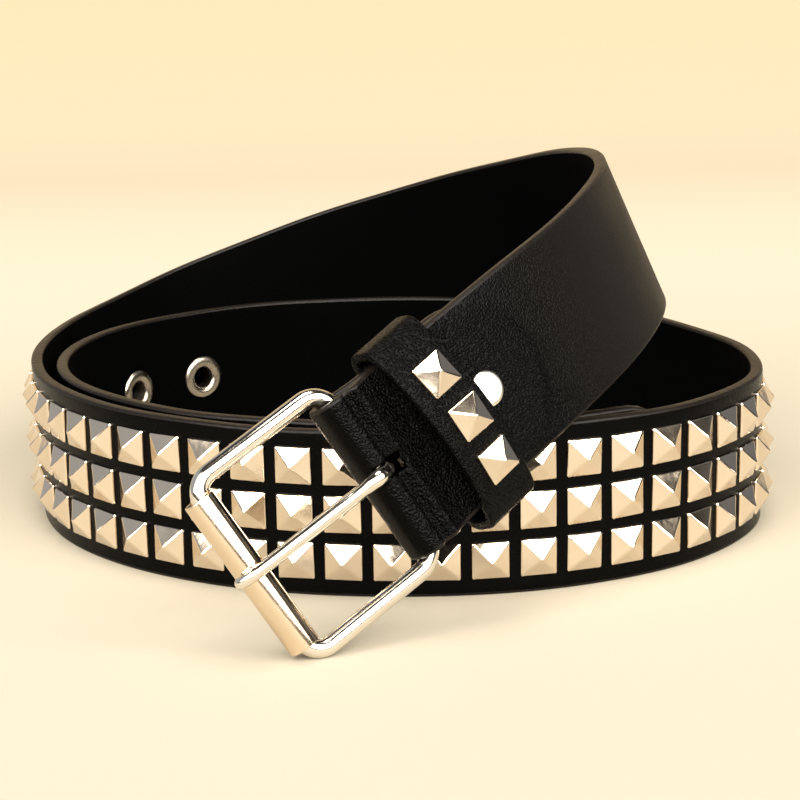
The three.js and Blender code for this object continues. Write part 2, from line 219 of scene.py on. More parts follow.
@dataclass(frozen=True)
class MetalFinish:
    """Nickel plate: bright, with faint ripples of the pressed or drawn metal below it."""

    name: str
    colour: str
    worn_colour: str
    roughness: tuple[float, float]
    ripple_mm: float
    ripple_depth_mm: float
    smudge_mm: float = 7.0

    def material(self) -> bpy.types.Material:
        """Builds the node material.

        Returns:
            The material.
        """
        made = bpy.data.materials.new(self.name)
        made.use_nodes = True
        tree = made.node_tree
        shader = tree.nodes["Principled BSDF"]
        place = add_node(tree, "ShaderNodeTexCoord").outputs["Object"]
        ripple = add_node(
            tree, "ShaderNodeTexNoise", Vector=place, Scale=1 / (self.ripple_mm * MM), Detail=2.0,
        )
        bump = add_node(
            tree, "ShaderNodeBump", Height=ripple.outputs["Fac"], Strength=1.0,
            Distance=self.ripple_depth_mm * MM,
        )
        smudge = add_node(
            tree, "ShaderNodeTexNoise", Vector=place, Scale=1 / (self.smudge_mm * MM), Detail=5.0,
            Roughness=0.65,
        )
        rough = add_node(
            tree, "ShaderNodeMapRange", Value=smudge.outputs["Fac"], From_Min=0.35, From_Max=0.7,
            To_Min=self.roughness[0], To_Max=self.roughness[1],
        )
        tone = add_node(tree, "ShaderNodeMix", {"data_type": "RGBA"}, i0=smudge.outputs["Fac"])
        tone.inputs[6].default_value = srgb(self.colour)
        tone.inputs[7].default_value = srgb(self.worn_colour)
        tree.links.new(tone.outputs[2], shader.inputs["Base Color"])
        tree.links.new(rough.outputs[0], shader.inputs["Roughness"])
        tree.links.new(bump.outputs[0], shader.inputs["Normal"])
        shader.inputs["Metallic"].default_value = 1.0
        return made


# Polyurethane-coated split leather: near black, half gloss, with a pressed pebble grain; its second colour,
# a greyer brown, is a painted sheen behind the buckle and round the bend
STRAP_LEATHER = LeatherFinish(
    "coated_split_leather", "#010101", "#12100e", (0.22, 0.31), 0.54, 0.26, specular=0.05,
)
# The keeper is cut from the same sheet, and its grain is stretched open over the bend
KEEPER_LEATHER = LeatherFinish(
    "coated_keeper_leather", "#010101", "#030303", (0.23, 0.32), 0.52, 0.25, specular=0.045, masked=False,
)
# Edge paint fills the cut edge, so it is smoother than the face and shows a soft line of light
EDGE_PAINT = LeatherFinish(
    "edge_paint", "#0a0807", "#130f0c", (0.34, 0.44), 1.6, 0.05, specular=0.11, masked=False,
)
# The back is bonded leather board: matt, with patches where fibres lie flat
BONDED_BACK = LeatherFinish(
    "bonded_leather_back", "#000000", "#010101", (0.75, 0.95), 0.6, 0.05, fine_mm=0.25, specular=0.015,
    masked=False,
)
# Pressed steel studs with bright nickel: mirror facets, not quite flat after the press
STUD_NICKEL = MetalFinish("nickel_plated_stud", "#e6d7c3", "#d8c9b5", (0.1, 0.19), 3.4, 0.06)
# Drawn steel wire, polished before plating: a cleaner mirror than the studs
WIRE_NICKEL = MetalFinish("nickel_plated_wire", "#ebe4d9", "#dcd4c8", (0.08, 0.15), 9.0, 0.03)
# Rolled sheet of the roller: brushed lightly along its length by the rolls
SHEET_NICKEL = MetalFinish("nickel_plated_sheet", "#e6d3ba", "#d8c4aa", (0.12, 0.2), 6.0, 0.03)
# Thin plated brass of the eyelets, duller where it was rolled over
EYELET_NICKEL = MetalFinish("nickel_plated_eyelet", "#b9b0a2", "#8d8477", (0.2, 0.36), 2.0, 0.05)
# Rivet cap, satin after tumbling
RIVET_NICKEL = MetalFinish("tumbled_nickel_rivet", "#f6f0e4", "#e6dfd2", (0.24, 0.34), 4.0, 0.02)


# Mesh helpers


def new_object(
    name: str, points: np.ndarray, faces: Sequence[Sequence[int]], materials: Sequence[bpy.types.Material],
    face_slots: Sequence[int] | None = None,
) -> bpy.types.Object:
    """Makes a smooth closed mesh object with its faces pointing out.

    Args:
        name: Name of the object.
        points: Corner points in millimetres, one row each.
        faces: Corner numbers of each face.
        materials: Materials of the object's slots.
        face_slots: Slot number of each face, or None for the first.
    Returns:
        The object, linked to the scene, at the origin.
    """
    mesh = bpy.data.meshes.new(name)
    mesh.from_pydata((np.asarray(points) * MM).tolist(), [], [list(f) for f in faces])
    for material in materials:
        mesh.materials.append(material)
    if face_slots is not None:
        mesh.polygons.foreach_set("material_index", np.asarray(face_slots, dtype=np.int32))
    work = bmesh.new()
    work.from_mesh(mesh)
    bmesh.ops.recalc_face_normals(work, faces=work.faces)
    work.to_mesh(mesh)
    work.free()
    mesh.polygons.foreach_set("use_smooth", [True] * len(mesh.polygons))
    made = bpy.data.objects.new(name, mesh)
    bpy.context.scene.collection.objects.link(made)
    return made


def ring_faces(
    count: int, sides: int, joined: bool, column_slots: Sequence[int] | None = None,
) -> tuple[list[list[int]], list[int]]:
    """Faces of a tube through rings of points.

    Args:
        count: How many rings there are.
        sides: How many points a ring has.
        joined: Whether the last ring joins the first.
        column_slots: Material slot of each column of faces.
    Returns:
        The faces, and the slot of each.
    """
    slots_of = list(column_slots or [0] * sides)
    faces, slots = [], []
    for i in range(count if joined else count - 1):
        here, there = i * sides, ((i + 1) % count) * sides
        for j in range(sides):
            k = (j + 1) % sides
            faces.append([here + j, here + k, there + k, there + j])
            slots.append(slots_of[j])
    if not joined:
        faces.append(list(range(sides)))
        faces.append([(count - 1) * sides + j for j in range(sides)])
        slots += [slots_of[0], slots_of[0]]
    return faces, slots


def apply_modifiers(made: bpy.types.Object) -> None:
    """Turns an object's modifiers into a plain mesh and removes them.

    Args:
        made: The object.
    """
    done = bpy.data.meshes.new_from_object(made.evaluated_get(bpy.context.evaluated_depsgraph_get()))
    made.modifiers.clear()
    made.data = done


def set_floats(made: bpy.types.Object, name: str, values: np.ndarray) -> None:
    """Stores one number per corner point on a mesh, for its material to read.

    Args:
        made: Object with the mesh.
        name: Name of the attribute.
        values: The numbers, in the order of the points.
    """
    layer = made.data.attributes.new(name, "FLOAT", "POINT")
    layer.data.foreach_set("value", np.asarray(values, dtype=np.float32))


def smoothstep(value: np.ndarray | float) -> np.ndarray | float:
    """Eases a share from 0 to 1, flat at both ends.

    Args:
        value: The share, which is clipped.
    Returns:
        The eased share.
    """
    share = np.clip(value, 0.0, 1.0)
    return share * share * (3 - 2 * share)


def unit(vector: np.ndarray) -> np.ndarray:
    """Scales vectors to length one.

    Args:
        vector: One vector, or a row for each.
    Returns:
        The scaled vectors.
    """
    return vector / np.linalg.norm(vector, axis=-1, keepdims=True)


def turned(profile: Sequence[tuple[float, float]], sides: int) -> tuple[np.ndarray, list[list[int]]]:
    """Turns a profile round the Y axis.

    Args:
        profile: Radius and height, in order. A radius of 0 makes a pole, otherwise the profile is closed.
        sides: Steps of the turn.
    Returns:
        Points in millimetres and faces.
    """
    angles = np.arange(sides) * 2 * math.pi / sides
    points: list[list[float]] = []
    rows: list[list[int]] = []
    for radius, height in profile:
        if radius == 0:
            rows.append([len(points)] * sides)
            points.append([0.0, height, 0.0])
            continue
        rows.append([len(points) + i for i in range(sides)])
        points += [[radius * math.cos(a), height, radius * math.sin(a)] for a in angles]
    open_ended = profile[0][0] == 0
    faces = []
    for i in range(len(rows) - (1 if open_ended else 0)):
        low, high = rows[i], rows[(i + 1) % len(rows)]
        for j in range(sides):
            k = (j + 1) % sides
            corner = [low[j], low[k], high[k], high[j]]
            faces.append([c for n, c in enumerate(corner) if c not in corner[:n]])
    return np.array(points), faces


# Path of the strap


@dataclass
class Place:
    """Places on the strap: along runs to the bar, across to the top edge, outward out of the face."""

    point: np.ndarray
    along: np.ndarray
    across: np.ndarray
    outward: np.ndarray

    def local(self, along: float, outward: float, across: float) -> np.ndarray:
        """Point at a distance along the three directions of a single place.

        Args:
            along: Distance towards the bar.
            outward: Distance out of the face.
            across: Distance to the top edge.
        Returns:
            The point.
        """
        return self.point + along * self.along + outward * self.outward + across * self.across


@dataclass
class StrapPath:
    """Middle of the strap's thickness, from the tail's tip to the bar, as in the part."""

    width: float = 38.5
    thickness: float = 3.0
    coil_width: float = 186.0
    coil_depth: float = 164.6
    # Bearing in degrees, reach as a share of the coil, then lift as a share of the width, and the
    # lean of the top edge to X and Y
    rows: tuple[tuple[float, ...], ...] = (
        (-47, 1.018), (-75, 0.965), (-100, 0.89), (-125, 0.88), (-150, 0.88), (-175, 0.91), (-200, 0.96),
        (-225, 1.005), (-250, 1.038), (-270, 1.005), (-292, 0.995), (-315, 0.995), (-338, 0.96),
        (-360, 1.0), (-382, 1.05), (-405, 1.061), (-428, 1.036), (-450, 0.996), (-472, 0.968),
        (-495, 0.949), (-518, 0.95), (-541, 0.984, 0.005, -0.04, -0.01),
        (-563, 1.058, 0.028, -0.15, -0.02), (-584, 1.16, 0.105, -0.275, 0),
        (-602, 1.255, 0.286, -0.32, 0.02), (-618.5, 1.246, 0.551, -0.31, 0.02),
        (-635, 1.141, 0.823, -0.305, 0.025), (-653.5, 0.971, 1.061, -0.305, 0.04),
        (-677, 0.782, 1.237, -0.32, 0.04), (-709.5, 0.667, 1.339, -0.365, 0.025),
        (-745, 0.719, 1.347, -0.405, 0.005), (-772.5, 0.886, 1.214, -0.42, -0.03),
        (-792.5, 1.082, 0.936, -0.475, -0.03), (-810, 1.342, 0.461, -0.545, 0.045),
    )
    samples: int = 9000
    centre: list[np.ndarray] = field(default_factory=list)
    leans: list[np.ndarray] = field(default_factory=list)

    def __post_init__(self) -> None:
        """Works out the points and the length of the path."""
        for row in self.rows:
            bearing, reach, lift, lean_x, lean_y = (*row, 0, 0, 0)[:5] if len(row) == 2 else row
            angle = math.radians(bearing)
            self.centre.append(np.array([
                (self.coil_width - self.thickness) / 2 * reach * math.cos(angle),
                (self.coil_depth - self.thickness) / 2 * reach * math.sin(angle),
                self.width * (0.5 + lift),
            ]))
            self.leans.append(np.array([lean_x, lean_y, math.sqrt(1 - lean_x**2 - lean_y**2)]))
        self._shares = np.linspace(0, 1, self.samples)
        points = self.curve(self.centre, self._shares, True)
        steps = np.linalg.norm(np.diff(points, axis=0), axis=1)
        self._lengths = np.concatenate([[0], np.cumsum(steps)])
        self.length = float(self._lengths[-1])

    @staticmethod
    def curve(points: Sequence[np.ndarray], shares: np.ndarray, centripetal: bool) -> np.ndarray:
        """Smooth curve through points.

        Args:
            points: Points that it goes through.
            shares: Where it is wanted, from 0 to 1 of its spans.
            centripetal: Whether its spans are weighed by the root of their length.
        Returns:
            A row for each share.
        """
        count = len(points)
        padded = [2 * points[0] - points[1], *points, 2 * points[-1] - points[-2]]
        scaled = np.clip(np.atleast_1d(shares), 0, 1) * (count - 1)
        spans = np.minimum(scaled.astype(int), count - 2)
        p = np.array(padded)
        x0, x1, x2, x3 = (p[spans + k] for k in range(4))
        w = (scaled - spans)[:, None]
        if centripetal:
            pairs = ((x0, x1), (x1, x2), (x2, x3))
            d0, d1, d2 = (np.sqrt(np.linalg.norm(b - a, axis=1))[:, None] for a, b in pairs)
            t1 = ((x1 - x0) / d0 - (x2 - x0) / (d0 + d1) + (x2 - x1) / d1) * d1
            t2 = ((x2 - x1) / d1 - (x3 - x1) / (d1 + d2) + (x3 - x2) / d2) * d1
        else:
            t1, t2 = 0.5 * (x2 - x0), 0.5 * (x3 - x1)
        c2 = -3 * x1 + 3 * x2 - 2 * t1 - t2
        c3 = 2 * x1 - 2 * x2 + t1 + t2
        return x1 + t1 * w + c2 * w**2 + c3 * w**3

    def at(self, distances: Sequence[float] | float) -> Place:
        """Places at distances from the tail's tip.

        Args:
            distances: One distance, or several.
        Returns:
            A place whose fields have a row for each distance, or are single for a single distance.
        """
        wanted = np.atleast_1d(np.asarray(distances, float))
        shares = np.interp(wanted, self._lengths, self._shares)
        delta = 1e-4
        ahead = self.curve(self.centre, np.minimum(shares + delta, 1), True)
        behind = self.curve(self.centre, np.maximum(shares - delta, 0), True)
        along = unit(ahead - behind)
        across = self.curve(self.leans, shares, False)
        across = unit(across - (across * along).sum(1, keepdims=True) * along)
        point = self.curve(self.centre, shares, True)
        outward = np.cross(across, along)
        if np.ndim(distances) == 0:
            return Place(point[0], along[0], across[0], outward[0])
        return Place(point, along, across, outward)


@dataclass
class Fold:
    """Fold of the strap round the buckle's bar, with the bar's own place."""

    path: StrapPath
    wire: float = 4.0
    bar_play: float = 0.8
    touch_gap: float = 0.3
    closed_at: float = 9.8
    turned_back: float = 47.0
    tongue_round: float = 18.5
    squareness: float = 3.0
    nose_reach: float = 3.3
    skived: float = 2.2
    # Height, distance from the bar and spread of two waves, then depth, start, fall, end and climb of
    # the hollow behind them
    crease: tuple[float, float, float] = (-1.35, 1.4, 1.0)
    ridge: tuple[float, float, float] = (0.7, 3.9, 1.15)
    hollow: tuple[float, ...] = (-1.75, 3.4, 7.4, 24.5, 10.0)
    low_shift: float = 0.8
    shifted_to: float = 24.0
    tongue_slope: float = 3.2

    def __post_init__(self) -> None:
        """Works out the bar's place from the path's end."""
        end = self.path.at(self.path.length)
        self.bar_to_middle = self.wire / 2 + self.bar_play + self.path.thickness / 2
        self.bar = Place(end.point - self.bar_to_middle * end.outward, end.along, end.across, end.outward)
        self.closed_spacing = self.path.thickness + self.touch_gap

    def spacing(self, from_bar: float) -> float:
        """Distance between the middles of the two layers.

        Args:
            from_bar: Distance from the bar along the strap.
        Returns:
            The distance.
        """
        eased = float(smoothstep(from_bar / self.closed_at))
        return 2 * self.bar_to_middle + (self.closed_spacing - 2 * self.bar_to_middle) * eased

    def relief(self, from_bar: np.ndarray) -> np.ndarray:
        """Rise of the outer face near the bar: a crease behind it, then a second low ridge.

        Args:
            from_bar: Distances from the bar along the strap.
        Returns:
            The rise at each.
        """
        rise = 0.0
        for height, at, spread in (self.crease, self.ridge):
            rise = rise + height * np.exp(-(((from_bar - at) / spread) ** 2))
        depth, starts, falls, ends, climbs = self.hollow
        share = smoothstep((from_bar - starts) / falls) * smoothstep((ends - from_bar) / climbs)
        return rise + depth * share

    def sideways(self, from_bar: np.ndarray | float) -> np.ndarray | float:
        """Shift of the strap along the bar, which sits low in the loose frame.

        Args:
            from_bar: Distances from the bar along the strap.
        Returns:
            The shift across the strap at each.
        """
        return -self.low_shift * smoothstep((self.shifted_to - from_bar) / self.shifted_to)

    def tongue(self, from_bar: np.ndarray, across: np.ndarray) -> np.ndarray:
        """Share of the full height to which the turned-back layer shows through the outer one.

        Args:
            from_bar: Distances from the bar along the strap.
            across: Distances from the strap's middle.
        Returns:
            The share at each.
        """
        centre = self.turned_back - self.tongue_round - 1.5
        beyond = np.maximum(from_bar - centre, 0)
        reach = np.sqrt(beyond**2 + across**2)
        inside = (self.tongue_round + 1.5 - reach) / self.tongue_slope
        behind = np.where(beyond > 0, inside, 1.0)
        return smoothstep(behind) * smoothstep((from_bar - 8) / 6)


# Sub-assemblies


@dataclass
class Strap:
    """The leather strap, with its prong slot and eyelet holes."""

    path: StrapPath
    fold: Fold
    shift: np.ndarray
    tip_round: float = 9.0
    step: float = 2.2
    fine_length: float = 50.0
    fine_rings: int = 90
    nose_rings: int = 25
    edge_round: float = 0.75
    face_columns: int = 30
    back_columns: int = 8
    tongue_rise: float = 0.42
    slot_width: float = 4.2
    slot_behind: float = 3.9
    slot_ahead: float = 3.4
    hole_width: float = 8.2
    eyelets_at: tuple[float, ...] = EYELETS_AT

    def section(self) -> tuple[np.ndarray, np.ndarray, list[int]]:
        """Outline of the strap's section.

        Returns:
            Across and outward sizes of its points, and the material slot of each column after a point.
        """
        u, n, r = self.path.width / 2, self.path.thickness / 2, self.edge_round
        face = [(x, n) for x in np.linspace(u - r, -u + r, self.face_columns)]
        arc = [math.radians(a) for a in (22.5, 45, 67.5, 90)]
        low = [(-u + r - r * math.sin(a), n - r + r * math.cos(a)) for a in arc]
        low += [(-u + r - r * math.cos(a), -n + r - r * math.sin(a)) for a in [0.0, *arc]]
        back = [(x, -n) for x in np.linspace(-u + r, u - r, self.back_columns)][1:]
        top = [(u - r + r * math.sin(a), -n + r - r * math.cos(a)) for a in arc]
        top += [(u - r + r * math.cos(a), n - r + r * math.sin(a)) for a in [0.0, *arc[:-1]]]
        outline = np.array(face + low + back + top)
        slots = [0] * (len(face) - 1) + [1] * (len(low)) + [2] * (len(back)) + [1] * (len(top) + 1)
        return outline[:, 0], outline[:, 1], slots[:len(outline)]

    def width_share(self, from_end: np.ndarray, radius: float) -> np.ndarray:
        """Share of the width near an end whose corners are rounded.

        Args:
            from_end: Distance from the end.
            radius: Radius of its corners.
        Returns:
            The share.
        """
        share = 1 - np.clip(from_end / radius, 0, 1)
        return 1 - 2 * radius * (1 - np.sqrt(1 - share**2)) / self.path.width

    def face_share(self, outward: np.ndarray) -> np.ndarray:
        """Share of the face's relief that a point of the section takes: all on the face, none behind.

        Args:
            outward: Outward sizes of the points.
        Returns:
            The share of each.
        """
        return np.clip(outward / (self.path.thickness / 2), 0, 1)

    def outer_layer(self) -> tuple[np.ndarray, np.ndarray]:
        """Rings of the strap from its tip to the bar.

        Returns:
            The rings' points, and how grained each is and how much of the wear and painted sheen it takes.
        """
        across_sizes, outward_sizes, _ = self.section()
        near = self.tip_round * np.array([0.0, 0.04, 0.12, 0.25, 0.45, 0.7])
        fine_from = self.path.length - self.fine_length
        distances = np.concatenate([
            near, np.arange(self.tip_round, fine_from, self.step),
            np.linspace(fine_from, self.path.length, self.fine_rings),
        ])
        place = self.path.at(distances)
        share = self.width_share(distances, self.tip_round)[:, None]
        from_bar = (self.path.length - distances)[:, None]
        u = across_sizes[None, :] * share
        n = np.broadcast_to(outward_sizes[None, :], u.shape).copy()
        tongue = self.fold.tongue(from_bar, u)
        n += self.face_share(outward_sizes) * (self.tongue_rise * tongue + self.fold.relief(from_bar))
        wave = 0.1 * np.sin(distances / 17.0) + 0.07 * np.sin(distances / 7.3 + 1.3)
        # The wave is in the upper edge only, as the lower one lies on the floor
        u = u + wave[:, None] * np.clip(u / 10, 0, 1) + self.fold.sideways(from_bar)
        rings = (
            place.point[:, None] + u[..., None] * place.across[:, None]
            + n[..., None] * place.outward[:, None]
        )
        grain = 0.14 + 0.9 * tongue + 0.75 * smoothstep((34 - from_bar) / 26)
        grain = grain + 0.3 * smoothstep((85 - from_bar) / 40) * (1 - tongue)
        # Behind the buckle and round the bend the face is more matt, and its colour is lifted towards a
        # greyer brown as a painted sheen
        wear_and_painted_sheen = smoothstep((from_bar - 30) / 60) * smoothstep((270 - from_bar) / 90) * (1 - 0.7 * tongue)
        return rings, np.stack([np.broadcast_to(grain, u.shape), np.broadcast_to(wear_and_painted_sheen, u.shape)], axis=-1)

    def nose(self) -> tuple[np.ndarray, np.ndarray]:
        """Rings round the bar, where the fold is squarer than a half circle.

        Returns:
            The rings' points, and how grained each is and how much of the wear and painted sheen it takes.
        """
        across_sizes, outward_sizes, _ = self.section()
        bar, power = self.fold.bar, self.fold.squareness
        turns = np.linspace(0, math.pi, self.nose_rings + 2)[1:-1]
        cos, sin = np.cos(turns), np.sin(turns)
        deep, far = self.fold.bar_to_middle, self.fold.nose_reach
        rings = []
        for c, s in zip(cos, sin):
            r = 1 / (abs(c) ** power + s ** power) ** (1 / power)
            middle = bar.point + r * (deep * c * bar.outward + far * s * bar.along)
            out = unit(
                np.sign(c) * abs(c * r) ** (power - 1) / deep * bar.outward
                + (s * r) ** (power - 1) / far * bar.along
            )
            relief = self.fold.relief(np.array(-far * s * r)) if c > 0 else 0.0
            thin = 1 + (self.fold.skived / self.path.thickness - 1) * smoothstep(1.4 * s)
            n = outward_sizes * thin + self.face_share(outward_sizes) * relief
            u = across_sizes + self.fold.sideways(0.0)
            rings.append(middle + u[:, None] * bar.across + n[:, None] * out)
        marks = np.zeros((len(turns), len(across_sizes), 2))
        marks[..., 0] = (1 - 0.85 * smoothstep(1.5 * sin - 0.2))[:, None]
        return np.array(rings), marks

    def turned_layer(self) -> tuple[np.ndarray, np.ndarray]:
        """Rings of the layer that comes back behind the outer one.

        Returns:
            The rings' points, and how grained each is and how much of the wear and painted sheen it takes.
        """
        across_sizes, outward_sizes, _ = self.section()
        end, radius = self.fold.turned_back, self.fold.tongue_round
        near = radius * np.array([0.45, 0.25, 0.12, 0.04, 0.0])
        from_bar = np.concatenate([np.arange(0.0, end - 0.7 * radius, 2.0), end - near])
        rings = []
        for distance in from_bar:
            place = self.path.at(self.path.length - distance)
            share = self.width_share(np.array(end - distance), radius)
            middle = place.point - self.fold.spacing(float(distance)) * place.outward
            u = across_sizes * share + self.fold.sideways(float(distance))
            rings.append(middle + u[:, None] * place.across - outward_sizes[:, None] * place.outward)
        marks = np.zeros((len(from_bar), len(across_sizes), 2))
        marks[..., 0] = 0.9
        return np.array(rings), marks

    def cutters(self) -> bpy.types.Object:
        """Builds the slot and hole cutters.

        Returns:
            One object with all of them.
        """
        points, faces = [], []

        def add(outline: np.ndarray, place: Place, depth: float) -> None:
            """Adds a prism whose outline lies in the strap's face.

            Args:
                outline: Its corners, along and across.
                place: Where it cuts.
                depth: How far it reaches to each side.
            """
            start, sides = len(points), len(outline)
            for side in (-depth, depth):
                points.extend(place.local(a, side, c) for a, c in outline)
            rows = ring_faces(2, sides, False)[0]
            faces.extend([[start + i for i in face] for face in rows])

        half = self.slot_width / 2
        arc = np.linspace(math.pi / 2, 3 * math.pi / 2, 13)
        behind, ahead = half - self.slot_behind, self.slot_ahead - half
        # The ends are cut nearly square, as the punch leaves them
        square = [(abs(math.cos(a)) ** 5 + abs(math.sin(a)) ** 5) ** -0.2 for a in arc]
        slot = [(behind + half * r * math.cos(a), half * r * math.sin(a)) for a, r in zip(arc, square)]
        slot += [(ahead - half * r * math.cos(a), -half * r * math.sin(a)) for a, r in zip(arc, square)]
        add(np.array(slot), self.fold.bar, 14.0)
        circle = np.linspace(0, 2 * math.pi, 33)[:-1]
        for distance in self.eyelets_at:
            outline = self.hole_width / 2 * np.column_stack([np.cos(circle), np.sin(circle)])
            add(outline, self.path.at(distance), 4.0)
        return new_object("strap_cutters", np.array(points) + self.shift, faces, [])

    def build(self, materials: Sequence[bpy.types.Material]) -> bpy.types.Object:
        """Builds the strap's mesh and cuts its holes.

        Args:
            materials: Face leather, edge paint and back.
        Returns:
            The strap's object.
        """
        parts = [self.outer_layer(), self.nose(), self.turned_layer()]
        rings = np.concatenate([rings for rings, _ in parts])
        marks = np.concatenate([marks for _, marks in parts])
        slots = self.section()[2]
        faces, face_slots = ring_faces(len(rings), rings.shape[1], False, slots)
        made = new_object("strap", rings.reshape(-1, 3) + self.shift, faces, materials, face_slots)
        set_floats(made, "grain", marks[..., 0].reshape(-1))
        set_floats(made, "wear_and_painted_sheen", marks[..., 1].reshape(-1))
        cutter = self.cutters()
        cut = made.modifiers.new("cut", "BOOLEAN")
        cut.operation, cut.object, cut.solver = "DIFFERENCE", cutter, "EXACT"
        apply_modifiers(made)
        bpy.data.objects.remove(cutter)
        made.data.polygons.foreach_set("use_smooth", [True] * len(made.data.polygons))
        return made


@dataclass
class PyramidStud:
    """One pressed pyramid stud, with Y outward and zero where it meets the leather."""

    size: float = 8.5
    height: float = 3.1
    skirt: float = 0.6
    sunk: float = 0.35
    hollow: float = 0.09
    ridge: float = 0.3
    ridge_flank: float = 0.22
    rim: float = 0.16

    def build(self, name: str) -> bpy.types.Object:
        """Builds the stud with narrow rounded ridges and slightly hollow facets.

        Args:
            name: Name of the object.
        Returns:
            The stud.
        """
        half = self.size / 2
        rise = self.height - self.skirt
        rows = [
            (half, -self.sunk), (half + 0.05, 0.05), (half + 0.05, 0.2), (half - 0.02, self.skirt - 0.14),
        ]
        for share in (1.0, 0.72, 0.45, 0.22, 0.08):
            lift = rise * (1 - share) - self.hollow * 4 * share * (1 - share)
            rows.append(((half - self.rim) * share, self.skirt + lift))
        points: list[list[float]] = []
        for reach, lift in rows:
            ridge = min(self.ridge, 0.45 * reach)
            near = max(reach - ridge - self.ridge_flank, 0.4 * reach)
            side = [
                (-near, reach), (0, reach), (near, reach), (reach - ridge, reach), (reach, reach - ridge),
            ]
            for quarter in range(4):
                for x, z in side:
                    for _ in range(quarter):
                        x, z = z, -x
                    points.append([x, lift, z])
        sides, last = 20, (len(rows) - 1) * 20
        points.append([0.0, self.height - 0.05, 0.0])
        faces = ring_faces(len(rows), sides, False)[0][:-1]
        faces += [[last + j, last + (j + 1) % sides, len(points) - 1] for j in range(sides)]
        made = new_object(name, np.array(points), faces, [])
        marks = []
        for edge in made.data.edges:
            a, b = edge.vertices
            marks.append(a // sides == b // sides and a // sides <= 4)
        layer = made.data.attributes.new("sharp_edge", "BOOLEAN", "EDGE")
        layer.data.foreach_set("value", marks)
        return made


